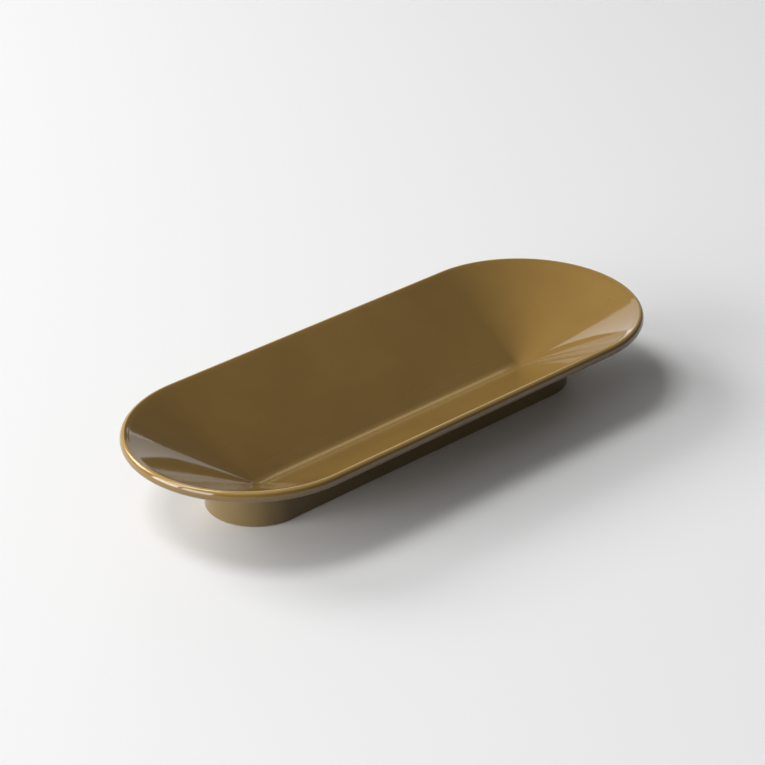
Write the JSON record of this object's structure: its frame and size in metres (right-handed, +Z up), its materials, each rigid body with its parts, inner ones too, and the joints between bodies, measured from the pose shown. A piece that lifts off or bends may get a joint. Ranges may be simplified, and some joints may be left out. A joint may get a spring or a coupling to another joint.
{
  "type": "olive dish",
  "caption": "Long olive dish of glossy olive-brown glazed stoneware: a V-shaped trough with straight sides, half-cone ends and a soft rim, standing on a narrow foot ring.",
  "frame": {"origin": "on the table, below the centre of the dish", "axes": "+X along the dish, +Y across it, +Z up"},
  "size_m": [0.25, 0.1, 0.033],
  "materials": {
    "glaze": "glossy olive-brown glaze over stoneware",
    "slip": "fired slip under the same glaze",
    "foot_glaze": "glossy olive-brown glaze, wiped off the standing edge"
  },
  "bodies": {
    "root": {"dish_shell": "glaze", "slip_seam": "slip", "foot_ring": "foot_glaze"}
  },
  "joints": []
}
